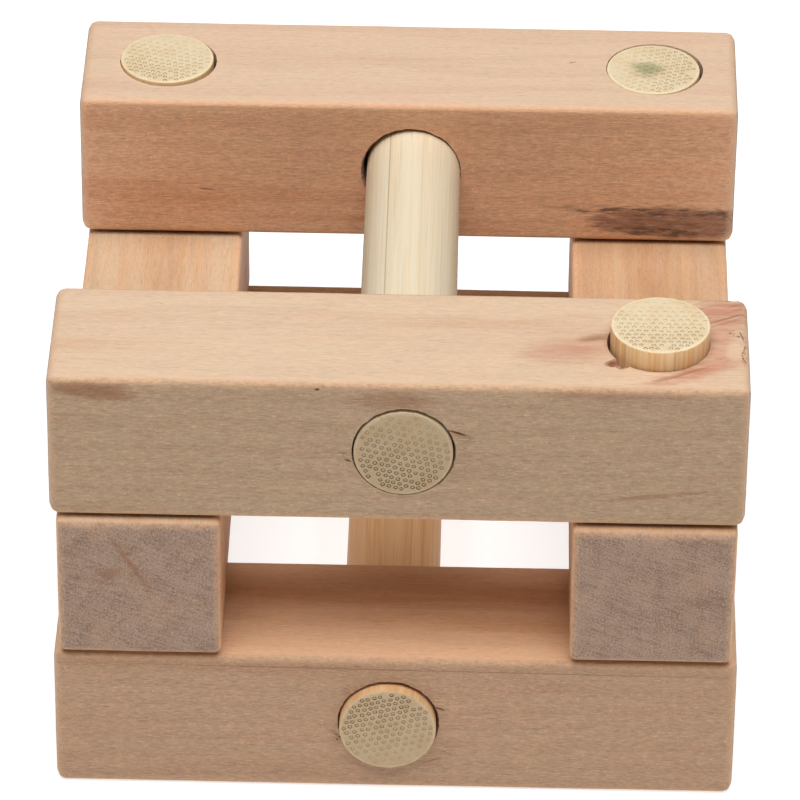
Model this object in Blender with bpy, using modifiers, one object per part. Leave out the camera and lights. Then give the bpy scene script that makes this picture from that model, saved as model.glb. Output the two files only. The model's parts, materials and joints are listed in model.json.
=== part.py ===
"""Wooden burr puzzle: three crossed layers of square bars, held by round dowels.

Units are metres and +Z is up. The origin is on the table under the middle of the frame.
X runs along the upper and lower bars. Y runs along the cross bars, from front to rear.
Four dowels stand at the crossings, and two tie dowels lie through the middle of the bars.
"""
import math

import bpy

# Square bars: all six are cut alike.
BAR_LENGTH = 0.070
BAR_WIDTH = 0.0167
BAR_HEIGHT = 0.0167
EDGE_RADIUS = 0.0009
EDGE_SEGMENTS = 3

# Round dowels, and how far their ends stand out or sink in.
DOWEL_DIAMETER = 0.010
DOWEL_CHAMFER = 0.0003
DOWEL_FOOT_RECESS = 0.0003
KEY_PROUD = 0.0022
REAR_LEFT_PROUD = 0.0003
LOWER_TIE_PROUD = 0.0010
ROUND_SIDES = 48

# How the pieces sit together.
CROSS_BAR_INSET = 0.00065
LAYER_GAP = 0.0003
HOLE_CLEARANCE = 0.0003
UPPER_TIE_OFFSET = 0.0006
LOWER_TIE_OFFSET = -0.0007
BLIND_HOLE_DEPTH = 0.0090
BLIND_HOLE_END_GAP = 0.0005

# Worked out from the sizes above.
PEG_REACH = BAR_LENGTH / 2 - CROSS_BAR_INSET - BAR_WIDTH / 2
LAYER_PITCH = BAR_HEIGHT + LAYER_GAP
LOWER_Z = BAR_HEIGHT / 2
MIDDLE_Z = LOWER_Z + LAYER_PITCH
UPPER_Z = MIDDLE_Z + LAYER_PITCH
TOP_Z = UPPER_Z + BAR_HEIGHT / 2
FRAME_DEPTH = 2 * PEG_REACH + BAR_WIDTH
HOLE_RADIUS = DOWEL_DIAMETER / 2 + HOLE_CLEARANCE
CUT_OVERRUN = 0.002

# Colour and roughness of each kind of wood.
FINISHES = {
    "upper_wood": ((0.72, 0.48, 0.31), 0.55),
    "cross_wood": ((0.66, 0.42, 0.25), 0.60),
    "lower_wood": ((0.62, 0.42, 0.27), 0.58),
    "bamboo": ((0.80, 0.66, 0.42), 0.50),
}

PARTS = "wooden_burr_puzzle"
CUTTERS = "puzzle_cutters"


def clear_scene():
    """Remove every object, so that the file holds the puzzle alone."""
    for obj in list(bpy.data.objects):
        bpy.data.objects.remove(obj)


def new_collection(name):
    """Add a collection to the scene and return it."""
    collection = bpy.data.collections.new(name)
    bpy.context.scene.collection.children.link(collection)
    return collection


def move_to(obj, collection):
    """Keep an object in one collection only."""
    for owner in list(obj.users_collection):
        owner.objects.unlink(obj)
    collection.objects.link(obj)


def finish_material(node, finish):
    """Give a piece a material of its own, in one of the wood finishes."""
    colour, roughness = FINISHES[finish]
    material = bpy.data.materials.new(f"{node}_{finish}")
    material.use_nodes = True
    shader = material.node_tree.nodes["Principled BSDF"]
    shader.inputs["Base Color"].default_value = (*colour, 1.0)
    shader.inputs["Roughness"].default_value = roughness
    shader.inputs["Metallic"].default_value = 0.0
    return material


def add_bevel(obj, width, segments):
    """Round the sharp edges of a piece."""
    bevel = obj.modifiers.new("rounded_edges", "BEVEL")
    bevel.width = width
    bevel.segments = segments
    bevel.limit_method = "ANGLE"
    bevel.angle_limit = math.radians(40)


def cylinder(name, radius, length, centre, along, collection):
    """Add a round bar about its centre, lying along X, Y or Z."""
    turn = {"X": (0, math.pi / 2, 0), "Y": (math.pi / 2, 0, 0), "Z": (0, 0, 0)}[along]
    bpy.ops.mesh.primitive_cylinder_add(
        vertices=ROUND_SIDES, radius=radius, depth=length, location=centre, rotation=turn)
    obj = bpy.context.object
    obj.name = name
    obj.data.name = name
    move_to(obj, collection)
    return obj


def drill(bar, label, centre, along, length, cutters):
    """Cut a dowel hole through a bar. The centre is given in the world."""
    cutter = cylinder(f"{bar.name}_{label}", HOLE_RADIUS, length, centre, along, cutters)
    cutter.hide_render = True
    cutter.display_type = "WIRE"
    cut = bar.modifiers.new(label, "BOOLEAN")
    cut.operation = "DIFFERENCE"
    cut.solver = "EXACT"
    cut.object = cutter


def add_bar(name, centre, along, finish, parts):
    """Add one square bar with rounded edges, lying along X or Y."""
    bpy.ops.mesh.primitive_cube_add(size=1, location=centre)
    bar = bpy.context.object
    bar.name = name
    bar.data.name = name
    size = {"X": (BAR_LENGTH, BAR_WIDTH, BAR_HEIGHT), "Y": (BAR_WIDTH, BAR_LENGTH, BAR_HEIGHT)}
    bar.scale = size[along]
    bpy.ops.object.transform_apply(location=False, rotation=False, scale=True)
    add_bevel(bar, EDGE_RADIUS, EDGE_SEGMENTS)
    bar.data.materials.append(finish_material(name, finish))
    move_to(bar, parts)
    return bar


def add_dowel(name, centre, along, length, parts):
    """Add one bamboo dowel with its ends lightly chamfered."""
    dowel = cylinder(name, DOWEL_DIAMETER / 2, length, centre, along, parts)
    add_bevel(dowel, DOWEL_CHAMFER, 2)
    dowel.data.shade_smooth()
    dowel.data.set_sharp_from_angle(angle=math.radians(30))
    dowel.data.materials.append(finish_material(name, "bamboo"))
    return dowel


def drill_through(bar, label, x, y, cutters):
    """Drill a bar right through from top to bottom."""
    centre = (x, y, bar.location.z)
    drill(bar, label, centre, "Z", BAR_HEIGHT + 2 * CUT_OVERRUN, cutters)


def drill_tie(bar, x, cutters):
    """Drill a bar from front to rear for a tie dowel."""
    centre = (x, bar.location.y, bar.location.z)
    drill(bar, "tie_hole", centre, "Y", BAR_WIDTH + 2 * CUT_OVERRUN, cutters)


def drill_blind(bar, x, y, cutters):
    """Drill a bar part way up from its underside."""
    underside = bar.location.z - BAR_HEIGHT / 2
    length = BLIND_HOLE_DEPTH + CUT_OVERRUN
    centre = (x, y, underside - CUT_OVERRUN + length / 2)
    drill(bar, "blind_hole", centre, "Z", length, cutters)


def build_lower_bars(parts, cutters):
    """The two bars that stand on the table."""
    for name, y in (("lower_front_bar", -PEG_REACH), ("lower_rear_bar", PEG_REACH)):
        bar = add_bar(name, (0, y, LOWER_Z), "X", "lower_wood", parts)
        drill_tie(bar, LOWER_TIE_OFFSET, cutters)
        drill_through(bar, "left_peg_hole", -PEG_REACH, y, cutters)
        drill_through(bar, "right_peg_hole", PEG_REACH, y, cutters)


def build_cross_bars(parts, cutters):
    """The two bars of the middle layer, which cross the others."""
    for name, x in (("left_cross_bar", -PEG_REACH), ("right_cross_bar", PEG_REACH)):
        bar = add_bar(name, (x, 0, MIDDLE_Z), "Y", "cross_wood", parts)
        drill_through(bar, "front_peg_hole", x, -PEG_REACH, cutters)
        drill_through(bar, "rear_peg_hole", x, PEG_REACH, cutters)


def build_upper_bars(parts, cutters):
    """The front bar hides one peg in a blind hole. The rear bar shows both of its pegs."""
    front = add_bar("upper_front_bar", (0, -PEG_REACH, UPPER_Z), "X", "upper_wood", parts)
    drill_tie(front, UPPER_TIE_OFFSET, cutters)
    drill_blind(front, -PEG_REACH, -PEG_REACH, cutters)
    drill_through(front, "key_hole", PEG_REACH, -PEG_REACH, cutters)

    rear = add_bar("upper_rear_bar", (0, PEG_REACH, UPPER_Z), "X", "upper_wood", parts)
    drill_tie(rear, UPPER_TIE_OFFSET, cutters)
    drill_through(rear, "left_peg_hole", -PEG_REACH, PEG_REACH, cutters)
    drill_through(rear, "right_peg_hole", PEG_REACH, PEG_REACH, cutters)


def build_pegs(parts):
    """The four upright dowels. Each is named for its corner, and the key stands proud."""
    hidden_top = UPPER_Z - BAR_HEIGHT / 2 + BLIND_HOLE_DEPTH - BLIND_HOLE_END_GAP
    corners = (
        ("key_dowel", PEG_REACH, -PEG_REACH, TOP_Z + KEY_PROUD),
        ("rear_left_dowel", -PEG_REACH, PEG_REACH, TOP_Z + REAR_LEFT_PROUD),
        ("rear_right_dowel", PEG_REACH, PEG_REACH, TOP_Z),
        ("front_left_dowel", -PEG_REACH, -PEG_REACH, hidden_top),
    )
    for name, x, y, top in corners:
        length = top - DOWEL_FOOT_RECESS
        add_dowel(name, (x, y, DOWEL_FOOT_RECESS + length / 2), "Z", length, parts)


def build_ties(parts):
    """The two dowels that lie across the frame, one in the upper pair and one in the lower."""
    add_dowel("upper_tie_dowel", (UPPER_TIE_OFFSET, 0, UPPER_Z), "Y", FRAME_DEPTH, parts)
    lower_length = FRAME_DEPTH + 2 * LOWER_TIE_PROUD
    add_dowel("lower_tie_dowel", (LOWER_TIE_OFFSET, 0, LOWER_Z), "Y", lower_length, parts)


def build_puzzle():
    """Build every piece in its place."""
    clear_scene()
    parts = new_collection(PARTS)
    cutters = new_collection(CUTTERS)
    build_lower_bars(parts, cutters)
    build_cross_bars(parts, cutters)
    build_upper_bars(parts, cutters)
    build_pegs(parts)
    build_ties(parts)


build_puzzle()
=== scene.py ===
"""Wooden burr puzzle: six drilled bars and six bamboo dowels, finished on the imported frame."""

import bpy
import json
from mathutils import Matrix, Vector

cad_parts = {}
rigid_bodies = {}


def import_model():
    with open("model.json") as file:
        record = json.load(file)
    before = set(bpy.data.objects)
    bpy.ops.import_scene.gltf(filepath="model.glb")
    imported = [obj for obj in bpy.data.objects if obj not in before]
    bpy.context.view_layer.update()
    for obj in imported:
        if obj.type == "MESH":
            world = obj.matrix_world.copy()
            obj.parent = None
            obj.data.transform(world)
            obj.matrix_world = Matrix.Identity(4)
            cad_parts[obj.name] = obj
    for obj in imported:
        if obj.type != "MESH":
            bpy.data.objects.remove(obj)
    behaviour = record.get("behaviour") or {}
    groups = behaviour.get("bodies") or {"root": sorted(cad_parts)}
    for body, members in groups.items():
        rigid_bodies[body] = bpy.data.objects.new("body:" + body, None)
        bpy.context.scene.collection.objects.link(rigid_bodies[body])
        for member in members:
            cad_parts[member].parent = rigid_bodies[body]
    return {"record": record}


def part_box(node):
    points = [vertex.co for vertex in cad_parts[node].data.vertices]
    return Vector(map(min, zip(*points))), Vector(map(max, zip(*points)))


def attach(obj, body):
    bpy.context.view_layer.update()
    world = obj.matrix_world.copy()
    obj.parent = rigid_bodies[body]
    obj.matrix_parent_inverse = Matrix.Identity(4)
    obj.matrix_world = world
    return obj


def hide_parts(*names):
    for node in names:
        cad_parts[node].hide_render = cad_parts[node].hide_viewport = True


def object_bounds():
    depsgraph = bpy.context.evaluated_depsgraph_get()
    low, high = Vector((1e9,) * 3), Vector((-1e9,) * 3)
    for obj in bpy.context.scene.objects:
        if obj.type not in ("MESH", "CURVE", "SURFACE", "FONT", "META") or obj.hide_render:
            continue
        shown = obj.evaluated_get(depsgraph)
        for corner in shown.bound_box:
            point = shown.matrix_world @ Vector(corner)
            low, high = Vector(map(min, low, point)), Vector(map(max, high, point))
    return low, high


bl_info = {
    "name": "Wooden Burr Puzzle",
    "version": (1, 0, 0),
    "blender": (4, 5, 0),
    "location": "View3D > Sidebar > Burr Puzzle",
    "description": "Shapes and finishes the bars and dowels of a wooden burr puzzle, and lights it",
    "category": "Object",
}

import json
import math
import random

import bmesh
import bpy
from bpy.props import FloatProperty, FloatVectorProperty, IntProperty, PointerProperty
from bpy.types import Operator, Panel, PropertyGroup
from mathutils import Matrix, Vector

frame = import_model()
cad_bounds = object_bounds()

MM = 0.001

RECORD = frame["record"]
BODY_OF = {node: body for body, nodes in RECORD["behaviour"]["bodies"].items() for node in nodes}

X, Y, Z = 0, 1, 2
UNIT = (Vector((1, 0, 0)), Vector((0, 1, 0)), Vector((0, 0, 1)))

UPRIGHT_DOWELS = ("key_dowel", "rear_left_dowel", "rear_right_dowel", "front_left_dowel")
TIE_DOWELS = ("upper_tie_dowel", "lower_tie_dowel")

# How far each hole's middle sits off its dowel's, in millimetres, so that the gap shows as a
# crescent on that side.
HOLE_LEAN = {
    "key_dowel": (-0.09, 0.0, 0.0),
    "rear_left_dowel": (0.11, 0.0, 0.0),
    "rear_right_dowel": (0.10, 0.02, 0.0),
    "front_left_dowel": (0.0, 0.0, 0.0),
    "upper_tie_dowel": (0.02, 0.0, 0.08),
    "lower_tie_dowel": (0.03, 0.0, 0.07),
}
REAR_TIE_LEAN = (-0.18, 0.0, 0.06)

# How much bare, dry wood mirrors, and how far a seed of 1 moves a noise along each axis.
DRY_SHEEN = 0.28
SEED_STEPS = (7.31, 3.17, 5.53)

HOLE_SIDES = 96
SMOOTH_BELOW = math.radians(34)

# A dowel's mesh: cuts along it, and rings inset in its ends.
DOWEL_CUTS = 24
CAP_RINGS = 4
CAP_RING_WIDTH = 1.0 * MM

# Cut bundles keep this far from a dowel's rim, and their middles this many radii apart.
BUNDLE_MARGIN = 0.45 * MM
BUNDLE_SPACING = 2.3

# The stage: a floor and one large lamp, in metres.
FLOOR_SIZE = 6.0
LAMP_SIZE = 1.2
LAMP_PLACE = (0.0, -0.30, 1.1)


def paint(red, green, blue):
    """A colour as mixed on a paint chart, 0 to 255 a channel, as the linear values that shaders use."""
    def linear(value):
        share = value / 255
        return share / 12.92 if share <= 0.04045 else ((share + 0.055) / 1.055) ** 2.4
    return (linear(red), linear(green), linear(blue), 1.0)


def long_axis(node):
    """The axis that a node is longest along."""
    low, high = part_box(node)
    size = high - low
    return max((X, Y, Z), key=lambda axis: size[axis])


# ---------------------------------------------------------------- settings

def swatch(name, description, red, green, blue):
    """A colour setting, whose default is given as on a paint chart."""
    return FloatVectorProperty(name=name, description=description, default=paint(red, green, blue),
                               size=4, min=0, max=1, subtype="COLOR")


def millimetres(name, description, default, least=0.0):
    """A length setting, given in millimetres."""
    return FloatProperty(name=name, description=description, default=default * MM,
                         min=least * MM, unit="LENGTH")


class BarShape(PropertyGroup):
    """Sizes of the bars' surface detail; their outer sizes come from the frame."""

    long_edge: millimetres("Long edge radius", "Rounding along the bars", 0.65)
    end_edge: millimetres("End edge radius", "Rounding of the bars' sawn ends", 1.05)
    grid: millimetres("Grid", "Spacing of the mesh over a bar's faces", 1.0, least=0.2)
    unevenness: millimetres("Unevenness", "Depth of the waviness that hand sanding leaves", 0.10)
    hole_clearance: millimetres("Hole clearance", "Gap round a dowel on the tight side", 0.03)
    torn_rim: millimetres("Torn rim", "How far the drill tore the mouths of the cross holes", 0.13)
    clean_rim: millimetres("Clean rim", "How far the upright holes' mouths are worn open", 0.05)


class DowelShape(PropertyGroup):
    """Sizes of the dowels' surface detail."""

    rim: millimetres("Rim", "Chamfer round a dowel's sawn ends", 0.18)
    ridges: millimetres("Ridges", "Depth of the fibre ridges along a dowel", 0.05)
    sides: IntProperty(
        name="Sides", description="Number of flats round a dowel",
        default=144, min=48)
    pit_pitch: millimetres("Pit pitch", "Distance between cut fibre bundles", 0.82, least=0.3)
    pit_radius: millimetres("Pit radius", "Radius of a cut fibre bundle", 0.25)
    pit_depth: millimetres("Pit depth", "Depth of a cut fibre bundle on the crowded side", 0.15)


class WoodLook(PropertyGroup):
    """Colours that all six bars share."""

    pale: swatch("Pale wood", "Early wood on the long faces", 206, 177, 147)
    tan: swatch("Tan wood", "Late wood on the long faces", 190, 150, 116)
    peach: swatch("Peach wood", "Pinkish mottling on the long faces", 208, 172, 144)
    rust: swatch("Reddish wood", "Reddish figure in the wood", 172, 120, 94)
    orange: swatch("Orange wood", "Streaks along the cross bars", 196, 150, 108)
    streak: swatch("Streak", "Ground of the mineral streak", 138, 92, 70)
    figure: swatch("Figure", "Reddish figure round the key", 176, 116, 92)
    smear: swatch("Smear", "Brown smears, cracks and the darkest figure", 140, 98, 70)
    chip: swatch("Chip", "Broken wood inside a chip", 120, 70, 42)
    stain: swatch("Mineral stain", "Dark mineral lines and cracks", 88, 62, 48)
    # Partly the worn fibres' own colour, partly painted highlight where rounded edges catch the light.
    worn_edge: swatch("Worn edge", "Fuzzy, worn edges of the bars", 212, 168, 130)
    end_grain: swatch("End grain", "Sawn end grain", 162, 136, 118)
    end_pores: swatch("End grain pores", "Pores and rings in the end grain", 122, 94, 77)


class BambooLook(PropertyGroup):
    """Colours of the dowels."""

    cream: swatch("Cream", "Soft tissue between the fibres", 208, 190, 158)
    straw: swatch("Straw", "Fibres along the sides", 196, 164, 118)
    bundle: swatch("Bundle", "Cut fibre bundles on the ends", 128, 98, 62)
    mildew: swatch("Mildew", "Grey-green stain", 140, 138, 100)


class StudioLook(PropertyGroup):
    """The stage: light levels and the camera's place."""

    overhead: FloatProperty(
        name="Overhead light", description="Power of the large light above",
        default=21.4, min=0, unit="POWER")
    surround: FloatProperty(
        name="Surround", description="Strength of the light from all round",
        default=0.03, min=0)
    table_glow: FloatProperty(
        name="Table glow", description="Strength of the light table that the puzzle stands on",
        default=0.62, min=0)
    elevation: FloatProperty(
        name="Elevation", description="Camera's height angle",
        default=math.radians(34.777), subtype="ANGLE")
    azimuth: FloatProperty(
        name="Azimuth", description="Camera's turn round the puzzle",
        default=math.radians(0.882), subtype="ANGLE")
    roll: FloatProperty(
        name="Roll", description="Camera's turn about its own axis",
        default=math.radians(0.604), subtype="ANGLE")
    distance: FloatProperty(
        name="Distance", description="Camera's distance from the puzzle",
        default=0.65658, unit="LENGTH")
    slide: FloatVectorProperty(
        name="Slide", description="Camera's sideways and upward offset",
        default=(-0.00009, 0.02059), size=2, unit="LENGTH")
    lens: FloatProperty(
        name="Lens", description="Focal length in millimetres on a 36 mm sensor",
        default=273.06, min=1)


SETTINGS = {"burr_bars": BarShape, "burr_dowels": DowelShape, "burr_wood": WoodLook,
            "burr_bamboo": BambooLook, "burr_studio": StudioLook}


# ---------------------------------------------------------------- shader maths

class Signal:
    """One value on its way through a material; arithmetic on it adds Math nodes."""

    def __init__(self, finish, node, output=0):
        self.finish = finish
        self.node = node
        self.socket = node.outputs[output]

    def output(self, name):
        """Another output of the same node."""
        return Signal(self.finish, self.node, name)

    def math(self, operation, *others):
        values = dict(enumerate((self,) + others))
        return self.finish.add("ShaderNodeMath", {"operation": operation}, values)

    def __add__(self, other):
        return self.math("ADD", other)

    def __sub__(self, other):
        return self.math("SUBTRACT", other)

    def __rsub__(self, other):
        return self.finish.add("ShaderNodeMath", {"operation": "SUBTRACT"}, {0: other, 1: self})

    def __mul__(self, other):
        return self.math("MULTIPLY", other)

    def __truediv__(self, other):
        return self.math("DIVIDE", other)

    def __abs__(self):
        return self.math("ABSOLUTE")

    __radd__ = __add__
    __rmul__ = __mul__

    def larger(self, other):
        return self.math("MAXIMUM", other)

    def rise(self, low, high):
        """0 up to low, 1 from high, and a smooth step between; low may be the higher one."""
        settings = {"interpolation_type": "SMOOTHSTEP"}
        values = {0: self, 1: low, 2: high}
        if low > high:
            values = {0: self, 1: high, 2: low, 3: 1.0, 4: 0.0}
        return self.finish.add("ShaderNodeMapRange", settings, values)


class Finish:
    """A material being made. add() makes any node; the other methods are short recipes from it."""

    def __init__(self, name):
        self.material = bpy.data.materials.new(name)
        self.material.use_nodes = True
        self.nodes = self.material.node_tree.nodes
        self.links = self.material.node_tree.links
        self.shader = self.nodes["Principled BSDF"]
        self.place = None
        self.parts = None

    def add(self, kind, settings, values, output=0):
        """One node of any kind: its settings first, then the values or signals of its sockets."""
        node = self.nodes.new(kind)
        for name, value in settings.items():
            setattr(node, name, value)
        for key, value in values.items():
            self.feed(node.inputs[key], value)
        return Signal(self, node, output)

    def feed(self, socket, value):
        if isinstance(value, Signal):
            self.links.new(value.socket, socket)
        else:
            socket.default_value = value

    def mapped(self, place, location, rotation, scale):
        """Coordinates seen from a frame at that place, turned and sized so."""
        return self.add("ShaderNodeMapping", {"vector_type": "TEXTURE"}, {
            "Vector": place, "Location": location, "Rotation": rotation, "Scale": scale})

    def scaled(self, place, stretch, seed):
        """Coordinates times a scale for each axis, moved on by a seed."""
        shift = tuple(seed * step for step in SEED_STEPS)
        return self.add("ShaderNodeVectorMath", {"operation": "MULTIPLY_ADD"}, {
            0: place, 1: stretch, 2: shift})

    def noise(self, stretch, seed, detail=3.0, rough=0.5, place=None):
        """Noise from 0 to 1, with a scale for each axis in waves per millimetre."""
        return self.add("ShaderNodeTexNoise", {}, {
            "Vector": self.scaled(place or self.place, stretch, seed), "Scale": 1.0,
            "Detail": detail, "Roughness": rough})

    def mix(self, share, first, second):
        """Two colours mixed by a share."""
        return self.add("ShaderNodeMix", {"data_type": "RGBA"}, {
            0: share, 6: first, 7: second}, output=2)

    def shaded(self, colour, level):
        """A colour made lighter or darker by a level around 1."""
        return self.add("ShaderNodeVectorMath", {"operation": "SCALE"}, {0: colour, 3: level})

    def tinted(self, colour, tint):
        """A colour times a tint, channel by channel."""
        return self.add("ShaderNodeVectorMath", {"operation": "MULTIPLY"}, {0: colour, 1: tint})

    def apart(self, vector):
        """The three parts of a vector."""
        parts = self.add("ShaderNodeSeparateXYZ", {}, {0: vector})
        return parts, parts.output("Y"), parts.output("Z")

    def facing(self, axis):
        """How squarely the surface faces along an axis, from 0 to 1."""
        normal = self.add("ShaderNodeTexCoord", {}, {}, output="Normal")
        return abs(self.apart(normal)[axis])

    def measure(self, node, tipped=False):
        """Counts places in millimetres from a piece's middle.

        The first part runs along a bar. With tipped, the third part runs along a dowel.
        """
        low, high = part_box(node)
        quarter = math.radians(90) if long_axis(node) == Y else 0.0
        turn = (quarter, 0, 0) if tipped else (0, 0, quarter)
        at = self.add("ShaderNodeTexCoord", {}, {}, output="Object")
        self.place = self.mapped(at, tuple((low + high) / 2), turn, (MM, MM, MM))
        self.parts = self.apart(self.place)

    def blot(self, at, size, turn=(0, 0, 0), ragged=0.35, seed=0.0, soft=0.5):
        """1 inside a blot of that half size in millimetres, 0 outside, with a ragged, soft edge."""
        angles = tuple(math.radians(angle) for angle in turn)
        inside = self.mapped(self.place, at, angles, size)
        reach = self.add("ShaderNodeVectorMath", {"operation": "LENGTH"}, {0: inside}, output="Value")
        wobble = self.noise((0.35, 1.6, 1.6), 40 + seed, detail=4.0, rough=0.6)
        return (reach + (wobble - 0.5) * (2 * ragged)).rise(1.0, 1.0 - soft)

    def bump(self, height, depth):
        """A bump of that depth, in metres, from a height of 0 to 1."""
        return self.add("ShaderNodeBump", {}, {"Height": height, "Distance": depth})

    def close(self, colour, roughness, normal):
        """Links the finished signals to the shader and gives back the material."""
        self.feed(self.shader.inputs["Base Color"], colour)
        self.feed(self.shader.inputs["Roughness"], roughness)
        self.feed(self.shader.inputs["Normal"], normal)
        self.shader.inputs["Specular IOR Level"].default_value = DRY_SHEEN
        return self.material


# ---------------------------------------------------------------- wood

# For each bar: a seed; the shares of tan and red in it; the pith's place across and above the
# bar and the spacing of its growth rings, in millimetres; the tints of the whole bar and of its
# two upright sides; and how far the end grain reaches over the end's rounded edges. The sides'
# tints are partly the wood's own tone and partly painted shade and light: they make the upright
# faces darker or lighter than the top as the light falls on them, much darker on the front bars.
# The lower front bar's warm whole tint paints shade on its top under the upper bar.
BAR_WOOD = {
    # Painted shade: warm whole tint on the top under the upper front bar; dark tint on the upright
    # sides.
    "lower_front_bar": dict(seed=1.0, tan=0.30, red=0.05, pith=(14.0, 190.0), rings=2.4,
                            whole=(1.14, 0.98, 0.88), sides=(0.61, 0.63, 0.65), reach=(0.84, 0.98)),
    "lower_rear_bar": dict(seed=2.0, tan=0.55, red=0.30, pith=(30.0, -90.0), rings=2.0,
                           whole=(1.10, 0.98, 0.88), sides=(0.82, 0.85, 0.88), reach=(0.84, 0.98)),
    "left_cross_bar": dict(seed=3.0, tan=0.60, red=0.10, pith=(-55.0, -40.0), rings=2.2,
                           whole=(0.90, 0.88, 0.85), sides=(1.22, 1.12, 1.06), reach=(0.50, 0.80)),
    "right_cross_bar": dict(seed=4.0, tan=0.65, red=0.10, pith=(120.0, 8.0), rings=1.8,
                            whole=(0.89, 0.83, 0.77), sides=(1.22, 1.18, 1.15), reach=(0.50, 0.80)),
    # Painted shade: dark tint on the upright sides, which take little of the light from above.
    "upper_front_bar": dict(seed=5.0, tan=0.15, red=0.00, pith=(-20.0, -150.0), rings=2.8,
                            whole=(0.98, 1.00, 1.03), sides=(0.67, 0.63, 0.57), reach=(0.84, 0.98)),
    "upper_rear_bar": dict(seed=6.0, tan=0.20, red=0.10, pith=(60.0, -110.0), rings=2.6,
                           whole=(1.00, 1.00, 1.05), sides=(1.04, 0.82, 0.68), reach=(0.84, 0.98)),
}


def bar_half(node):
    """Half a bar's sizes along, across and up, in millimetres."""
    low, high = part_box(node)
    half = (high - low) / (2 * MM)
    return (half[Y], half[X], half[Z]) if long_axis(node) == Y else tuple(half)


# Where some faces lie, in millimetres from the bar's middle: the front and top of a bar that
# runs along X, and the front end of one that runs along Y.
FRONT = -bar_half("upper_front_bar")[1]
TOP = bar_half("upper_front_bar")[2]
FRONT_END = -bar_half("left_cross_bar")[0]


def end_grain_mask(finish, node):
    """1 where the surface faces along the grain, with a ragged edge."""
    ragged = finish.noise((1.0, 2.2, 2.2), 60, rough=0.7)
    facing = finish.facing(long_axis(node)) + (ragged - 0.5) * 0.25
    return facing.rise(*BAR_WOOD[node]["reach"])


def edge_mask(finish, node):
    """1 along the rounded edges of a bar, 0 on its faces."""
    near = [abs(part).rise(size - 1.1, size - 0.1) for part, size in zip(finish.parts, bar_half(node))]
    pairs = (near[0] * near[1], near[1] * near[2], near[2] * near[0])
    return pairs[0].larger(pairs[1]).larger(pairs[2])


def ring_lines(finish, traits):
    """Thin late-wood lines, from 0 to 1, on slightly wavy growth rings round the pith."""
    across = finish.parts[1] - traits["pith"][0]
    up = finish.parts[2] - traits["pith"][1]
    reach = (across * across + up * up).math("SQRT")
    drift = finish.noise((0.018, 0.10, 0.10), traits["seed"] + 11)
    turns = (reach + drift * 5.0) / traits["rings"]
    share = turns.math("FRACT")
    return share.rise(0.35, 0.93) * share.rise(1.0, 0.95)


def long_grain_colour(finish, traits, look):
    """Long faces: broad bands, a reddish flush, peach mottling and thin ring lines."""
    seed = traits["seed"]
    bands = finish.noise((0.012, 0.16, 0.16), seed, detail=4.0, rough=0.6)
    colour = finish.mix(bands.rise(0.62 - traits["tan"] * 0.35, 0.80 - traits["tan"] * 0.2),
                        look.pale, look.tan)
    flush = finish.noise((0.02, 0.11, 0.11), seed + 21)
    colour = finish.mix(flush.rise(0.62 - traits["red"] * 0.5, 0.85 - traits["red"] * 0.4) * 0.5,
                        colour, look.rust)
    mottle = finish.noise((0.14, 0.55, 0.55), seed + 22, rough=0.6)
    colour = finish.mix(mottle.rise(0.40, 0.75) * 0.55, colour, look.peach)
    return finish.mix(ring_lines(finish, traits) * 0.10, colour, look.rust)


def fine_grain(finish, sides, seed):
    """Brightness of the fibres, around 1: brushed lines, short vessels, and specks on the sides."""
    brushed = finish.noise((0.10, 3.2, 3.2), seed + 31, detail=4.0, rough=0.65)
    hairs = finish.noise((1.2, 6.5, 6.5), seed + 32, rough=0.7)
    vessels = finish.noise((0.55, 5.5, 5.5), seed + 33, detail=1.0).rise(0.62, 0.74)
    specks = finish.noise((2.6, 4.2, 4.2), seed + 34, rough=0.8).rise(0.54, 0.70)
    lines = (brushed - 0.5) * 0.20 + (hairs - 0.5) * 0.48 * (1.0 + sides * 1.3)
    return 0.985 + lines - vessels * 0.13 + specks * sides * 0.36


def end_grain_colour(finish, traits, look):
    """Sawn ends: greyish brown with rings, pores, pale specks and slanting saw lines."""
    seed = traits["seed"]
    rings = ring_lines(finish, traits)
    pores = finish.noise((1.0, 5.5, 5.5), seed + 51, rough=0.7)
    patches = finish.noise((0.2, 0.35, 0.35), seed + 52)
    saw = finish.mapped(finish.place, (0, 0, 0), (math.radians(22), 0, 0), (1, 1, 1))
    lines = finish.noise((0.4, 0.30, 4.2), seed + 53, rough=0.6, place=saw)
    specks = finish.noise((1.0, 4.5, 4.5), seed + 54, rough=0.8).rise(0.54, 0.70)
    share = (pores - 0.5) * 2.8 + (patches - 0.5) * 0.8 + (lines - 0.5) * 1.2 + rings * 0.10 + 0.30
    colour = finish.mix(share.rise(-0.1, 1.0), look.end_grain, look.end_pores)
    brown = finish.noise((0.1, 0.30, 0.30), seed + 55, detail=4.0, rough=0.6).rise(0.48, 0.70)
    colour = finish.mix(brown * 0.22, colour, look.tan)
    return finish.mix(specks * 0.60, colour, look.pale)


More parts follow.
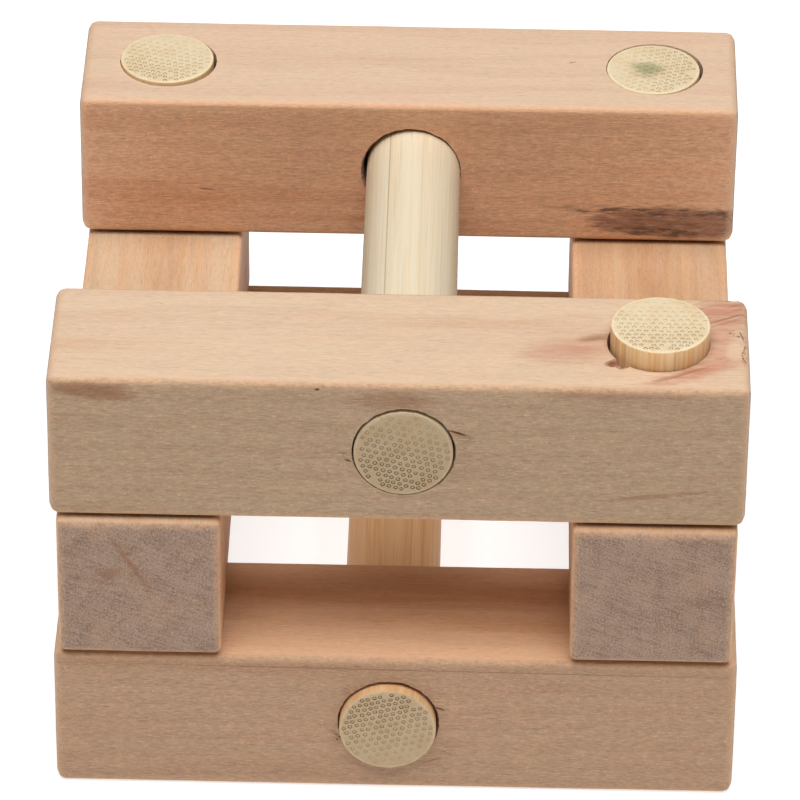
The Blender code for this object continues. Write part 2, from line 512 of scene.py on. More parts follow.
def wood(node, marks=None):
    """The finish of one bar, with that bar's own marks over the common wood."""
    look = bpy.context.scene.burr_wood
    traits = BAR_WOOD[node]
    seed = traits["seed"]
    half = bar_half(node)
    finish = Finish(node + "_wood")
    finish.measure(node)
    ends = end_grain_mask(finish, node)
    sides = abs(finish.parts[1]).rise(half[1] - 0.7, half[1] - 0.2)

    # Painted shade and light: the whole and sides tints darken or lighten faces as the light falls on
    # them.
    colour = finish.tinted(long_grain_colour(finish, traits, look), traits["whole"])
    colour = finish.mix(sides, colour, finish.tinted(colour, traits["sides"]))
    if marks:
        colour = marks(finish, colour, look)
    colour = finish.shaded(colour, fine_grain(finish, sides, seed))
    grain = end_grain_colour(finish, traits, look)
    if node == "left_cross_bar":
        grain = left_end_marks(finish, grain, look)
    colour = finish.mix(ends, colour, grain)
    # Lighter fuzz along the rounded edges: partly worn fibres, partly painted highlight where they
    # catch the light.
    fuzz = finish.noise((1.6, 2.5, 2.5), seed + 61, detail=4.0, rough=0.7)
    worn = edge_mask(finish, node) * fuzz.rise(0.25, 0.65)
    colour = finish.mix(worn * 0.75, colour, look.worn_edge)

    fibres = finish.noise((0.35, 7.0, 7.0), seed + 71, rough=0.7)
    sawn = finish.noise((2.0, 5.0, 5.0), seed + 72, rough=0.7)
    height = fibres * (1.0 - ends) + sawn * ends
    roughness = 0.62 + (fibres - 0.5) * 0.18
    return finish.close(colour, roughness, finish.bump(height, 0.06 * MM))


def left_end_marks(finish, colour, look):
    """A drying crack and a brown patch in the sawn front end."""
    crack = finish.blot((FRONT_END, 0.9, 3.4), (3.0, 0.45, 6.2), turn=(-31, 0, 0),
                        ragged=0.45, seed=19, soft=0.9)
    patch = finish.blot((FRONT_END, 2.9, 1.8), (3.0, 2.0, 1.1), turn=(-15, 0, 0),
                        ragged=0.8, seed=20, soft=0.9)
    return finish.mix((crack * 0.70).larger(patch * 0.60), colour, look.smear)


def upper_front_marks(finish, colour, look):
    """The marks on the upper front bar: first those on its top, then those on its front."""
    colour = figure_by_key(finish, colour, look)
    colour = scarred_end(finish, colour, look)
    return brown_stains(finish, colour, look)


def figure_by_key(finish, colour, look):
    """Reddish figure round the key, with darker rays in it."""
    lines = finish.noise((0.12, 1.2, 1.2), 81, detail=4.0, rough=0.6).rise(0.25, 0.60)
    patches = finish.noise((0.16, 0.30, 0.30), 80).rise(0.30, 0.62)
    flush = finish.blot((27.0, 0.0, TOP), (17.0, 9.5, 6.0), ragged=0.5, seed=0, soft=0.9)
    colour = finish.mix(flush * patches * 0.40, colour, look.rust)
    left = finish.blot((16.4, -1.8, TOP), (6.5, 3.2, 4.0), turn=(0, 0, 6), seed=1, soft=0.8)
    wedge = finish.blot((19.6, 0.7, TOP), (2.6, 0.9, 3.0), turn=(0, 0, 12), seed=2, soft=0.9)
    corner = finish.blot((32.4, 5.8, TOP), (5.0, 4.0, 4.0), turn=(0, 0, 15), seed=3, soft=0.7)
    beside = finish.blot((32.0, 0.5, TOP), (2.0, 6.0, 3.0), turn=(0, 0, -8), seed=4, soft=0.8)
    sweep = finish.blot((29.6, -4.9, TOP), (7.5, 1.7, 3.0), turn=(0, 0, 27), seed=5, soft=0.8)
    red = (left * 0.55).larger(corner * 0.80).larger(beside * 0.50).larger(sweep * 0.85)
    colour = finish.mix(red * (0.35 + lines * 0.65), colour, look.figure)
    rays = finish.mapped(finish.place, (27.0, 1.0, 0.0), (0, 0, math.radians(28)), (1, 1, 1))
    rays = finish.noise((0.10, 1.5, 0.2), 86, rough=0.6, place=rays).rise(0.50, 0.64)
    dark = (wedge * 0.75).larger(corner * rays * 0.75).larger(sweep * rays * 0.7)
    return finish.mix(dark, colour, look.smear)


def scarred_end(finish, colour, look):
    """A bald patch, a scar and a crack near the right end, and broken wood in the chip by the key."""
    bald = finish.blot((33.5, -1.3, TOP), (1.2, 2.0, 2.0), seed=6)
    colour = finish.mix(bald * 0.6, colour, look.pale)
    spots = finish.noise((1.8, 1.8, 1.8), 82, detail=2.0).rise(0.50, 0.62)
    scar = finish.blot((33.6, 1.9, 8.0), (1.0, 0.9, 1.5), seed=7)
    crack = finish.blot((34.4, -0.8, 7.9), (0.45, 3.6, 1.4), ragged=0.5, seed=8)
    colour = finish.mix(scar.larger(crack) * spots * 0.8, colour, look.stain)
    inside = finish.blot((21.7, -3.5, 7.9), (1.3, 0.8, 0.42), ragged=0.1, seed=9)
    return finish.mix(inside * 0.9, colour, look.chip)


def brown_stains(finish, colour, look):
    """Brown stains on the front face: a smear at the left, and lines and a tear further right."""
    smear = finish.blot((-30.4, FRONT, 7.0), (5.6, 1.2, 1.6), turn=(0, 6, 0), seed=10, soft=0.6)
    smear = smear * parts_below(finish, 7.95)
    above_tie = finish.blot((-0.5, FRONT, 6.4), (5.5, 1.5, 1.6), seed=11, soft=0.8)
    line = finish.blot((26.0, FRONT, -4.6), (6.5, 2.0, 0.34), turn=(0, -7, 0),
                       ragged=0.25, seed=12)
    under_edge = finish.blot((21.0, FRONT, 7.6), (11.0, 1.2, 1.2), seed=18, soft=0.8)
    tear = finish.blot((6.2, FRONT, 2.5), (1.5, 1.0, 0.35), turn=(0, 14, 0),
                       ragged=0.7, seed=22, soft=0.9)
    browned = (tear * 0.75).larger(smear * 0.80).larger(above_tie * 0.55)
    browned = browned.larger(line * 0.55).larger(under_edge * 0.45)
    return finish.mix(browned, colour, look.smear)


def parts_below(finish, level):
    """1 below a height in the bar, and 0 from just above it."""
    return finish.parts[2].rise(level + 0.25, level - 0.15)


def upper_rear_marks(finish, colour, look):
    """A dark mineral streak low on the right of the front face, in two lobes."""
    upper = finish.blot((26.8, FRONT, -4.5), (13.0, 5.0, 0.8), turn=(0, 1.5, 0),
                        ragged=0.5, seed=13)
    lower = finish.blot((26.4, FRONT, -7.0), (7.6, 5.0, 0.9), turn=(0, 3, 0), ragged=0.5, seed=14)
    body = finish.blot((29.0, FRONT, -5.8), (11.5, 5.0, 2.3), ragged=0.5, seed=15, soft=0.45)
    colour = finish.mix(body * 0.75, colour, look.streak)
    threads = finish.noise((0.55, 3.0, 3.0), 83, detail=4.0, rough=0.7).rise(0.42, 0.60)
    grey = finish.noise((0.8, 2.6, 2.6), 84).rise(0.52, 0.64)
    colour = finish.mix(body * grey * 0.55, colour, look.end_grain)
    dark = upper.larger(lower).larger(body * 0.55) * (0.20 + threads * 0.75)
    dash = finish.blot((-21.5, FRONT, -2.6), (1.3, 1.5, 0.16), turn=(0, 8, 0),
                       ragged=0.2, seed=16)
    return finish.mix(dark.larger(dash * 0.6) * 0.9, colour, look.stain)


def lower_front_marks(finish, colour, look):
    """One fine dark growth line below the front's top edge, and pale fuzz right of the tie dowel,
    whose paleness is partly painted highlight on torn fibres.
    """
    line = finish.blot((4.0, FRONT, 6.9), (40.0, 1.0, 0.10), turn=(0, 0.4, 0),
                       ragged=0.25, seed=17)
    fuzz = finish.blot((5.6, FRONT, 2.6), (2.6, 1.0, 0.9), turn=(0, 8, 0), ragged=0.6, seed=23)
    fibres = finish.noise((0.5, 4.0, 4.0), 87).rise(0.50, 0.62)
    # Painted highlight: the pale fuzz stands partly for light caught by the torn fibres.
    colour = finish.mix(fuzz * fibres * 0.45, colour, look.worn_edge)
    return finish.mix(line * 0.35, colour, look.stain)


def cross_marks(finish, colour, look):
    """Orange streaks along the top."""
    streaks = finish.noise((0.03, 0.9, 0.9), 85, rough=0.6).rise(0.45, 0.70)
    return finish.mix(streaks * 0.55, colour, look.orange)


BAR_MARKS = {
    "upper_front_bar": upper_front_marks,
    "upper_rear_bar": upper_rear_marks,
    "lower_front_bar": lower_front_marks,
    "left_cross_bar": cross_marks,
    "right_cross_bar": cross_marks,
}


# ---------------------------------------------------------------- bamboo

def bamboo(node, seed, stained=False, threaded=0.5, dark=0.4, groove=0.0,
           side_tint=(1, 1, 1), end_tint=(1, 1, 1)):
    """The finish of one dowel: straight fibres on its side and darker cut bundles in its ends."""
    look = bpy.context.scene.burr_bamboo
    pit_depth = bpy.context.scene.burr_dowels.pit_depth / MM
    finish = Finish(node + "_bamboo")
    finish.measure(node, tipped=True)
    parts = finish.parts
    low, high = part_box(node)
    half_length = max(high - low) / (2 * MM)
    radius = min(high - low) / (2 * MM)
    sunk = half_length - abs(parts[2])
    reach = (parts[0] * parts[0] + parts[1] * parts[1]).math("SQRT")
    core = reach.rise(radius - 0.18, radius - 0.22)
    ends = finish.facing(long_axis(node)).rise(0.40, 0.70).larger(core)

    strands = finish.noise((1.3, 1.3, 0.02), seed, rough=0.6)
    threads = finish.noise((4.5, 4.5, 0.05), seed + 1, rough=0.7)
    side = finish.mix(strands.rise(0.40, 0.74) * threaded, look.cream, look.straw)
    side = finish.mix(threads.rise(0.48, 0.66) * threaded, side, look.straw)
    lines = finish.noise((2.2, 2.2, 0.03), seed + 4, detail=2.0).rise(0.60, 0.66)
    side = finish.mix(lines * threaded * 0.30, side, look.bundle)
    if groove:
        scratch = finish.blot((groove, 4.4, 0.0), (0.10, 2.0, 60.0), ragged=0.2, seed=21)
        side = finish.mix(scratch * 0.45, side, look.bundle)
    # Painted shade: on the lower tie the side tint is warm shade where it lies under the upper bars.
    side = finish.tinted(finish.shaded(side, 1.0 + (threads - 0.5) * 0.16), side_tint)

    mottle = finish.noise((0.5, 0.5, 0.5), seed + 2)
    grit = finish.noise((5.0, 5.0, 5.0), seed + 3, detail=2.0)
    face = finish.mix(mottle.rise(0.35, 0.75) * 0.35, look.cream, look.straw)
    face = finish.shaded(face, 1.0 + (grit - 0.5) * 0.12)
    if stained:
        stain = finish.blot((-0.6, 0.0, half_length), (2.3, 2.1, 3.0), ragged=0.7, soft=0.8)
        face = finish.mix(stain * 0.8, face, look.mildew)
    pits = sunk.rise(0.03, pit_depth * 0.8) * core
    # Painted shade: the tie dowels' end tint darkens their upright ends, which take little light from
    # above.
    face = finish.tinted(finish.mix(pits * dark, face, look.bundle), end_tint)
    rim = reach.rise(radius - 0.42, radius - 0.22) * grit.rise(0.30, 0.55)
    face = finish.shaded(face, 1.0 + rim * 0.16)

    colour = finish.mix(ends, side, face)
    height = threads * (1.0 - ends) + grit * ends
    roughness = 0.55 + (threads - 0.5) * 0.2
    return finish.close(colour, roughness, finish.bump(height, 0.05 * MM))


# ---------------------------------------------------------------- modelling helpers

def deselect():
    bpy.ops.object.select_all(action="DESELECT")


def choose(piece):
    """Selects one piece alone and makes it the active one."""
    deselect()
    piece.select_set(True)
    bpy.context.view_layer.objects.active = piece


def settle(piece):
    """Makes a new primitive's place, turn and size part of its mesh."""
    bpy.ops.object.transform_apply(location=True, rotation=True, scale=True)
    return piece


def rod(axis, centre, radius, length, sides):
    """A new cylinder about a centre, lying along Y or standing along Z."""
    deselect()
    turn = (math.radians(90), 0, 0) if axis == Y else (0, 0, 0)
    bpy.ops.mesh.primitive_cylinder_add(vertices=sides, radius=radius, depth=length,
                                        location=centre, rotation=turn)
    return settle(bpy.context.object)


def edit(piece):
    choose(piece)
    bpy.ops.object.mode_set(mode="EDIT")


def leave():
    bpy.ops.object.mode_set(mode="OBJECT")


def pick(piece, kind, test):
    """Selects the vertices, edges or faces that pass a test, in edit mode, and counts them."""
    bpy.ops.mesh.select_mode(type=kind)
    bpy.ops.mesh.select_all(action="DESELECT")
    mesh = bmesh.from_edit_mesh(piece.data)
    items = {"VERT": mesh.verts, "EDGE": mesh.edges, "FACE": mesh.faces}[kind]
    chosen = [item for item in items if test(item)]
    for item in chosen:
        item.select_set(True)
    mesh.select_flush_mode()
    bmesh.update_edit_mesh(piece.data)
    return len(chosen)


def apply_modifier(piece, kind, **settings):
    """Adds a modifier with these settings and applies it."""
    choose(piece)
    modifier = piece.modifiers.new(kind.title(), kind)
    for name, value in settings.items():
        setattr(modifier, name, value)
    bpy.ops.object.modifier_apply(modifier=modifier.name)


def cut(piece, cutter):
    """Takes a cutter's shape out of a piece and removes the cutter."""
    faces = len(piece.data.polygons)
    apply_modifier(piece, "BOOLEAN", object=cutter, operation="DIFFERENCE", solver="EXACT")
    bpy.data.objects.remove(cutter)
    if len(piece.data.polygons) <= faces:
        raise RuntimeError(f"a cut missed or damaged {piece.name}: move or reshape the cutter")


def clouds(name, size):
    """A soft noise texture for a Displace modifier, with blobs of that size."""
    texture = bpy.data.textures.new(name, "CLOUDS")
    texture.noise_scale = size
    texture.noise_depth = 2
    return texture


def mend(piece):
    """Dissolves corners that cuts left part way along an edge, and checks that nothing is loose."""
    edit(piece)
    if pick(piece, "VERT", lambda vertex: len(vertex.link_edges) == 2):
        bpy.ops.mesh.dissolve_verts()
    pick(piece, "VERT", lambda vertex: vertex.index == 0)
    bpy.ops.mesh.select_linked()
    mesh = bmesh.from_edit_mesh(piece.data)
    loose = [vertex.co.copy() for vertex in mesh.verts if not vertex.select]
    leave()
    if loose:
        raise RuntimeError(f"{piece.name} has a loose bit near {loose[0]}")


def hand_over(piece, node, material):
    """Gives a finished piece its material and ties it to the frame in its node's place."""
    mend(piece)
    choose(piece)
    bpy.ops.object.shade_smooth_by_angle(angle=SMOOTH_BELOW)
    piece.data.materials.clear()
    piece.data.materials.append(material)
    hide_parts(node)
    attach(piece, BODY_OF[node])


# ---------------------------------------------------------------- bars

def blank(node):
    """A bar before drilling: a block with rounded edges, gridded and sanded slightly uneven."""
    shape = bpy.context.scene.burr_bars
    low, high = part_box(node)
    along = long_axis(node)
    deselect()
    bpy.ops.mesh.primitive_cube_add(size=1, location=(low + high) / 2, scale=high - low)
    bar = settle(bpy.context.object)
    bar.name = "shaped_" + node

    edit(bar)
    pick(bar, "EDGE", lambda edge: runs_along(edge, along))
    bpy.ops.transform.edge_bevelweight(value=shape.long_edge / shape.end_edge)
    pick(bar, "EDGE", lambda edge: not runs_along(edge, along))
    bpy.ops.transform.edge_bevelweight(value=1.0)
    leave()
    apply_modifier(bar, "BEVEL", width=shape.end_edge, segments=6, limit_method="WEIGHT")

    edit(bar)
    for axis in (X, Y, Z):
        pick(bar, "EDGE", lambda edge: runs_along(edge, axis) and edge.calc_length() > 4 * MM)
        bpy.ops.mesh.subdivide(number_cuts=round((high - low)[axis] / shape.grid) - 1)
    leave()
    sand(bar, shape.unevenness)
    return bar


def runs_along(edge, axis):
    step = edge.verts[1].co - edge.verts[0].co
    return abs(step[axis]) > 0.99 * step.length


def sand(bar, depth):
    """Presses a bar's surface in by up to that depth, in broad waves and finer ones."""
    for size, share in ((22 * MM, 1.0), (3.5 * MM, 0.35)):
        apply_modifier(bar, "DISPLACE", texture=clouds("sanding", size), texture_coords="LOCAL",
                       mid_level=1.0, strength=depth * share)


def drill(bar, node, dowel, seed):
    """The hole that a dowel runs in, off to one side of it, with a worn or torn mouth."""
    shape = bpy.context.scene.burr_bars
    low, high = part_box(node)
    dowel_low, dowel_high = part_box(dowel)
    axis = long_axis(dowel)
    across = (axis + 1) % 3
    is_rear_tie = dowel in TIE_DOWELS and low[Y] > 0
    lean = REAR_TIE_LEAN if is_rear_tie else HOLE_LEAN[dowel]
    centre = (dowel_low + dowel_high) / 2 + Vector(lean) * MM
    radius = (dowel_high - dowel_low)[across] / 2 + Vector(lean).length * MM + shape.hole_clearance
    rim = shape.torn_rim if dowel in TIE_DOWELS else shape.clean_rim

    past = 2 * MM
    end_gap = 0.5 * MM
    open_low = dowel_low[axis] < low[axis] + past
    open_high = dowel_high[axis] > high[axis] - past
    start = low[axis] - past if open_low else dowel_low[axis] - end_gap
    stop = high[axis] + past if open_high else dowel_high[axis] + end_gap

    centre[axis] = (start + stop) / 2
    cutter = rod(axis, centre, radius, stop - start, HOLE_SIDES)
    tight = centre - Vector(lean).normalized() * radius
    for side, face, is_open in ((-1, low[axis], open_low), (1, high[axis], open_high)):
        if is_open:
            flare(cutter, axis, side, face, tight, radius, rim, seed + side)
    cut(bar, cutter)


def flare(cutter, axis, side, face, tight, radius, rim, seed):
    """Opens a cutter where it leaves the wood, away from its tight side and a little raggedly."""
    edit(cutter)
    for depth in (0.5 * MM, 0.0, -0.3 * MM):
        level = UNIT[axis] * (face - side * depth)
        bpy.ops.mesh.select_all(action="SELECT")
        bpy.ops.mesh.bisect(plane_co=level, plane_no=UNIT[axis])
    edge_of_wood = side * (face - side * 0.25 * MM)
    pick(cutter, "VERT", lambda vertex: side * vertex.co[axis] > edge_of_wood)
    growth = [1 + rim / radius] * 3
    growth[axis] = 1
    bpy.ops.transform.resize(value=growth, center_override=tight)
    bpy.ops.transform.vertex_random(offset=rim * 0.8, seed=seed)
    leave()


def chip(bar, at, size, turn, seed):
    """A small ragged hollow at a point of the bar, with these half sizes and turned so, in degrees."""
    deselect()
    bpy.ops.mesh.primitive_ico_sphere_add(subdivisions=2, radius=1, location=at, scale=size,
                                          rotation=[math.radians(angle) for angle in turn])
    cutter = settle(bpy.context.object)
    edit(cutter)
    bpy.ops.mesh.select_all(action="SELECT")
    bpy.ops.transform.vertex_random(offset=min(size) * 0.15, seed=seed)
    leave()
    cut(bar, cutter)


def splinter(bar, start, end, width):
    """A torn fibre that stands off a bar, from its root to its tip."""
    reach = end - start
    deselect()
    bpy.ops.mesh.primitive_cone_add(vertices=7, radius1=width, radius2=width * 0.2, depth=reach.length,
                                    location=(start + end) / 2,
                                    rotation=reach.to_track_quat("Z", "Y").to_euler())
    fibre = settle(bpy.context.object)
    apply_modifier(bar, "BOOLEAN", object=fibre, operation="UNION", solver="EXACT")
    bpy.data.objects.remove(fibre)


def make_bar(node, chips=(), splinters=()):
    """A finished bar: blank, holes, chips, splinters and wood."""
    bar = blank(node)
    low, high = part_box(node)
    for number, dowel in enumerate(UPRIGHT_DOWELS + TIE_DOWELS):
        dowel_low, dowel_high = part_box(dowel)
        meets = all(dowel_low[axis] < high[axis] and dowel_high[axis] > low[axis] for axis in (X, Y, Z))
        if meets:
            drill(bar, node, dowel, 10 * number + 1)
    for number, (at, size, turn) in enumerate(chips):
        chip(bar, Vector(at) * MM, Vector(size) * MM, turn, number + 1)
    for start, end, width in splinters:
        splinter(bar, Vector(start) * MM, Vector(end) * MM, width * MM)
    hand_over(bar, node, wood(node, BAR_MARKS.get(node)))


# ---------------------------------------------------------------- dowels

def make_dowel(node, crowd, **traits):
    """A bamboo dowel: a ridged rod with chamfered ends and rings of cut bundles in them."""
    shape = bpy.context.scene.burr_dowels
    low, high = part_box(node)
    axis = long_axis(node)
    length = (high - low)[axis]
    radius = (high - low)[(axis + 1) % 3] / 2
    dowel = rod(axis, (low + high) / 2, radius, length, shape.sides)
    dowel.name = "turned_" + node
    edit(dowel)
    pick(dowel, "EDGE", lambda edge: runs_along(edge, axis))
    bpy.ops.mesh.subdivide(number_cuts=DOWEL_CUTS)
    for end in (low[axis], high[axis]):
        pick(dowel, "EDGE", lambda edge: all(abs(v.co[axis] - end) < 0.01 * MM for v in edge.verts))
        bpy.ops.mesh.bevel(offset=shape.rim, segments=3, affect="EDGES")
        for _ in range(CAP_RINGS):
            pick(dowel, "FACE", lambda face: len(face.verts) > 4
                 and abs(face.calc_center_median()[axis] - end) < MM)
            bpy.ops.mesh.inset(thickness=CAP_RING_WIDTH)
    leave()
    ridge(dowel, axis, shape.ridges)
    for side in (-1, 1):
        cut(dowel, bundle_cutter(node, axis, side, crowd, shape))
    hand_over(dowel, node, bamboo(node, **traits))


def bundle_places(radius, shape, draw):
    """Spots for the cut bundles in staggered rows, with how crowded each is, from 0 to 1."""
    limit = radius - BUNDLE_MARGIN
    spots = []
    row = 0
    far = -limit
    while far < limit:
        crowding = (far / limit + 1) / 2
        pitch = shape.pit_pitch * (1.12 - 0.36 * crowding)
        count = math.ceil(limit / pitch)
        for place in range(-count, count + 1):
            beside = (place + (row % 2) / 2) * pitch
            shift = Vector((draw.uniform(-0.1, 0.1), draw.uniform(-0.1, 0.1))) * pitch
            spot = Vector((far, beside)) + shift
            apart = all((spot - other).length > BUNDLE_SPACING * shape.pit_radius
                        for other, _ in spots)
            if apart and spot.length < limit:
                spots.append((spot, crowding))
        far += pitch * math.sin(math.radians(60))
        row += 1
    return spots


def bundle_cutter(node, axis, side, crowd, shape):
    """Ring grooves round small domes over one end of a dowel, closer and deeper on the crowded side."""
    low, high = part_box(node)
    centre = (low + high) / 2
    centre[axis] = high[axis] if side > 0 else low[axis]
    level = UNIT[Z] if axis == Y else UNIT[Y]
    towards = UNIT[X] * math.sin(math.radians(crowd)) + level * math.cos(math.radians(crowd))
    beside = towards.cross(UNIT[axis])
    draw = random.Random(node + str(side))

    deselect()
    tilt = (math.radians(-90 * side), 0, 0) if axis == Y else (math.radians(90 - 90 * side), 0, 0)
    bpy.ops.mesh.primitive_cone_add(vertices=8, radius1=0.9, radius2=1.2, depth=2.0)
    pattern = bpy.context.object
    edit(pattern)
    pick(pattern, "FACE", lambda face: face.normal.z < -0.9)
    bpy.ops.mesh.inset(thickness=0.32)
    bpy.ops.transform.resize(value=(0.8, 0.8, 1.0), center_override=(0, 0, -1))
    bpy.ops.transform.translate(value=(0, 0, 0.75))
    leave()
    pattern.rotation_euler = tilt
    settle(pattern)
    pits = []
    for spot, crowding in bundle_places(min(high - low) / 2, shape, draw):
        pit = bpy.data.objects.new("bundle_pit", pattern.data.copy())
        bpy.context.scene.collection.objects.link(pit)
        radius = shape.pit_radius * draw.uniform(0.88, 1.0)
        depth = shape.pit_depth * (0.35 + 0.65 * crowding)
        pit.scale = [depth if each == axis else radius for each in (X, Y, Z)]
        pit.location = centre + towards * spot[0] + beside * spot[1]
        pits.append(pit)
    bpy.data.objects.remove(pattern)
    deselect()
    for pit in pits:
        pit.select_set(True)
    bpy.context.view_layer.objects.active = pits[0]
    bpy.ops.object.join()
    return settle(bpy.context.object)


def ridge(dowel, axis, depth):
    """Presses fine furrows along a dowel's side, through noise that is drawn out along it."""
    guide = bpy.data.objects.new("furrow_guide", None)
    bpy.context.scene.collection.objects.link(guide)
    guide.scale = [30.0 if each == axis else 1.0 for each in (X, Y, Z)]
    bpy.context.view_layer.update()
    apply_modifier(dowel, "DISPLACE", texture=clouds("furrows", 0.7 * MM), texture_coords="OBJECT",
                   texture_coords_object=guide, mid_level=1.0, strength=depth)
    bpy.data.objects.remove(guide)


# ---------------------------------------------------------------- operators

class BURR_OT_lower_bars(Operator):
    """Make the two bars that the puzzle stands on"""

    bl_idname = "burr.lower_bars"
    bl_label = "Lower Bars"

    def execute(self, context):
        make_bar("lower_front_bar", chips=(
            ((4.5, -34.35, 10.4), (0.7, 0.35, 0.16), (0, 20, 0)),
            ((-5.7, -34.35, 6.4), (0.4, 0.35, 0.14), (0, -50, 0)),
            ((-5.0, -34.35, 11.2), (0.4, 0.35, 0.14), (0, -70, 0)),
        ), splinters=(
            ((-5.6, -34.2, 6.2), (-6.6, -34.7, 7.4), 0.14),
            ((2.6, -34.2, 3.2), (4.9, -34.5, 4.0), 0.12),
            ((3.9, -34.2, 4.4), (5.8, -34.5, 5.1), 0.11),
            ((-4.7, -34.2, 12.3), (-5.5, -34.6, 13.1), 0.12),
        ))
        make_bar("lower_rear_bar")
        return {"FINISHED"}


class BURR_OT_cross_bars(Operator):
    """Make the two bars of the middle layer, which run from front to rear"""

    bl_idname = "burr.cross_bars"
    bl_label = "Cross Bars"

    def execute(self, context):
        for node in ("left_cross_bar", "right_cross_bar"):
            make_bar(node)
        return {"FINISHED"}


class BURR_OT_upper_bars(Operator):
    """Make the two bars of the top layer, with their chips and cracks"""

    bl_idname = "burr.upper_bars"
    bl_label = "Upper Bars"

    def execute(self, context):
        make_bar("upper_front_bar", chips=(
            ((21.8, -29.5, 50.7), (1.5, 0.7, 0.8), (0, 0, 20)),
            ((22.2, -30.0, 50.7), (0.8, 0.8, 0.6), (0, 0, 10)),
            ((33.4, -18.1, 50.6), (0.7, 0.35, 0.35), (0, 0, 20)),
            ((30.9, -21.4, 50.7), (0.5, 0.16, 0.3), (0, 0, 25)),
            ((34.2, -24.5, 50.55), (0.12, 0.9, 0.25), (0, 0, 14)),
            ((34.45, -26.6, 50.45), (0.10, 0.8, 0.25), (0, 0, -8)),
            ((34.3, -28.6, 50.50), (0.10, 0.6, 0.2), (0, 0, 16)),
            ((33.6, -24.2, 50.7), (0.45, 0.25, 0.2), (0, 0, 60)),
            ((-24.3, -20.5, 50.68), (0.12, 0.45, 0.18), (0, 0, 60)),
            ((-32.8, -29.7, 50.68), (0.6, 0.10, 0.15), (0, 0, 4)),
            ((-8.0, -34.35, 49.9), (0.28, 0.4, 0.2), (0, 0, 0)),
            ((5.9, -34.35, 45.0), (1.0, 0.35, 0.16), (0, 18, 0)),
            ((-4.9, -34.35, 41.4), (0.4, 0.35, 0.14), (0, 20, 0)),
        ), splinters=(
            ((-5.0, -34.2, 41.9), (-6.1, -34.7, 42.5), 0.15),
            ((5.9, -34.2, 44.2), (7.9, -34.5, 44.3), 0.12),
            ((6.0, -34.2, 43.3), (7.2, -34.5, 43.0), 0.10),
        ))
        make_bar("upper_rear_bar", chips=(
            ((17.4, 27.2, 50.7), (0.5, 0.09, 0.35), (0, 0, 20)),
        ))
        return {"FINISHED"}


class BURR_OT_upright_dowels(Operator):
    """Make the four dowels that stand through the layers, the key among them"""

    bl_idname = "burr.upright_dowels"
    bl_label = "Upright Dowels"

    def execute(self, context):
        make_dowel("key_dowel", crowd=180, seed=1.0, threaded=1.0, side_tint=(1.30, 1.10, 0.93))
        make_dowel("rear_left_dowel", crowd=-160, seed=2.0, side_tint=(1.15, 1.0, 0.82))
        make_dowel("rear_right_dowel", crowd=100, seed=3.0, stained=True, side_tint=(1.1, 1.0, 0.9))
        make_dowel("front_left_dowel", crowd=30, seed=4.0)
        return {"FINISHED"}


class BURR_OT_tie_dowels(Operator):
    """Make the two dowels that hold the upper pair and the lower pair of bars together"""

    bl_idname = "burr.tie_dowels"
    bl_label = "Tie Dowels"

    def execute(self, context):
        # Painted shade: the end tints darken the ties' upright ends, and the lower tie's side tint is
        # warm shade.
        make_dowel("upper_tie_dowel", crowd=195, seed=5.0, threaded=0.45, dark=0.75, groove=-2.44,
                   side_tint=(1.05, 1.11, 1.24), end_tint=(0.68, 0.62, 0.56))
        make_dowel("lower_tie_dowel", crowd=-15, seed=6.0, threaded=0.8, dark=0.75,
                   side_tint=(1.03, 0.80, 0.66), end_tint=(0.76, 0.69, 0.63))
        return {"FINISHED"}


class BURR_OT_studio(Operator):
    """Set out the pale floor, the soft light and the camera"""

    bl_idname = "burr.studio"
    bl_label = "Studio"

    def execute(self, context):
        look = context.scene.burr_studio
        add_floor(look)
        add_light(look)
        add_surround(look)
        add_camera(look)
        context.scene.view_settings.view_transform = "Standard"
        return {"FINISHED"}


def add_floor(look):
    deselect()
    bpy.ops.mesh.primitive_plane_add(size=FLOOR_SIZE, location=(0, 0, cad_bounds[0][2]))
    floor = settle(bpy.context.object)
    floor.name = "floor"
    finish = Finish("floor_paper")
    finish.shader.inputs["Base Color"].default_value = paint(190, 190, 190)
    finish.shader.inputs["Emission Color"].default_value = (1.0, 1.0, 1.0, 1.0)
    finish.shader.inputs["Emission Strength"].default_value = look.table_glow
    finish.shader.inputs["Roughness"].default_value = 0.9
    finish.shader.inputs["Specular IOR Level"].default_value = 0.1
    floor.data.materials.append(finish.material)


def add_light(look):
    deselect()
    bpy.ops.object.light_add(type="AREA", location=LAMP_PLACE)
    lamp = bpy.context.object
    lamp.name = "overhead_light"
    lamp.data.shape = "DISK"
    lamp.data.size = LAMP_SIZE
    lamp.data.energy = look.overhead


def add_surround(look):
    world = bpy.data.worlds.new("surround")
    world.use_nodes = True
    backdrop = world.node_tree.nodes["Background"]
    backdrop.inputs["Color"].default_value = (1.0, 1.0, 1.0, 1.0)
    backdrop.inputs["Strength"].default_value = look.surround
    bpy.context.scene.world = world


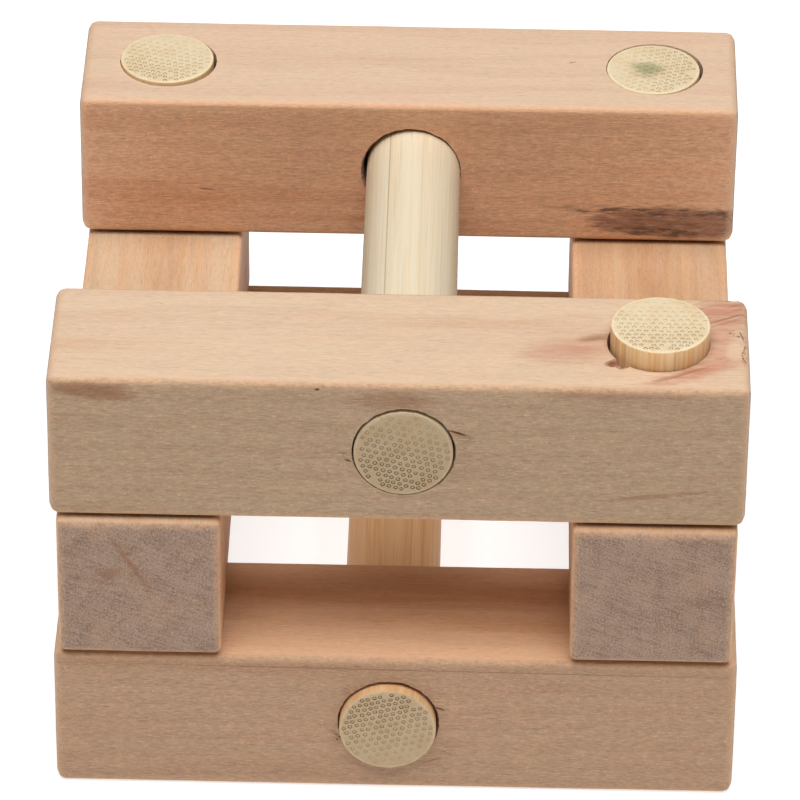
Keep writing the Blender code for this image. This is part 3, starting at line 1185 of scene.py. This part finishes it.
def add_camera(look):
    """A long lens that looks at the puzzle from far back, slid sideways and up to frame it."""
    rise, turn, roll = look.elevation, look.azimuth, look.roll
    back = Vector((math.cos(rise) * math.sin(turn), -math.cos(rise) * math.cos(turn), math.sin(rise)))
    level = Vector((math.cos(turn), math.sin(turn), 0))
    upright = back.cross(level)
    right = level * math.cos(roll) + upright * math.sin(roll)
    up = upright * math.cos(roll) - level * math.sin(roll)
    camera = bpy.data.objects.new("camera", bpy.data.cameras.new("camera"))
    bpy.context.scene.collection.objects.link(camera)
    spot = right * look.slide[0] + up * look.slide[1] + back * look.distance
    axes = Matrix((right, up, back)).transposed().to_4x4()
    camera.matrix_world = Matrix.Translation(spot) @ axes
    camera.data.sensor_width = 36.0
    camera.data.lens = look.lens
    bpy.context.scene.camera = camera


OPERATORS = (BURR_OT_lower_bars, BURR_OT_cross_bars, BURR_OT_upper_bars,
             BURR_OT_upright_dowels, BURR_OT_tie_dowels, BURR_OT_studio)


class BURR_PT_panel(Panel):
    """The puzzle's steps and settings"""

    bl_idname = "BURR_PT_panel"
    bl_label = "Burr Puzzle"
    bl_space_type = "VIEW_3D"
    bl_region_type = "UI"
    bl_category = "Burr Puzzle"

    def draw(self, context):
        for operator in OPERATORS:
            self.layout.operator(operator.bl_idname)
        for name, group in SETTINGS.items():
            box = self.layout.box()
            for setting in group.__annotations__:
                box.prop(getattr(context.scene, name), setting)


CLASSES = tuple(SETTINGS.values()) + OPERATORS + (BURR_PT_panel,)


def register():
    for each in CLASSES:
        bpy.utils.register_class(each)
    for name, group in SETTINGS.items():
        setattr(bpy.types.Scene, name, PointerProperty(type=group))


def unregister():
    for name in SETTINGS:
        delattr(bpy.types.Scene, name)
    for each in reversed(CLASSES):
        bpy.utils.unregister_class(each)


def main():
    register()
    bpy.ops.burr.studio()
    bpy.ops.burr.lower_bars()
    bpy.ops.burr.cross_bars()
    bpy.ops.burr.upper_bars()
    bpy.ops.burr.upright_dowels()
    bpy.ops.burr.tie_dowels()


if __name__ == "__main__":
    main()
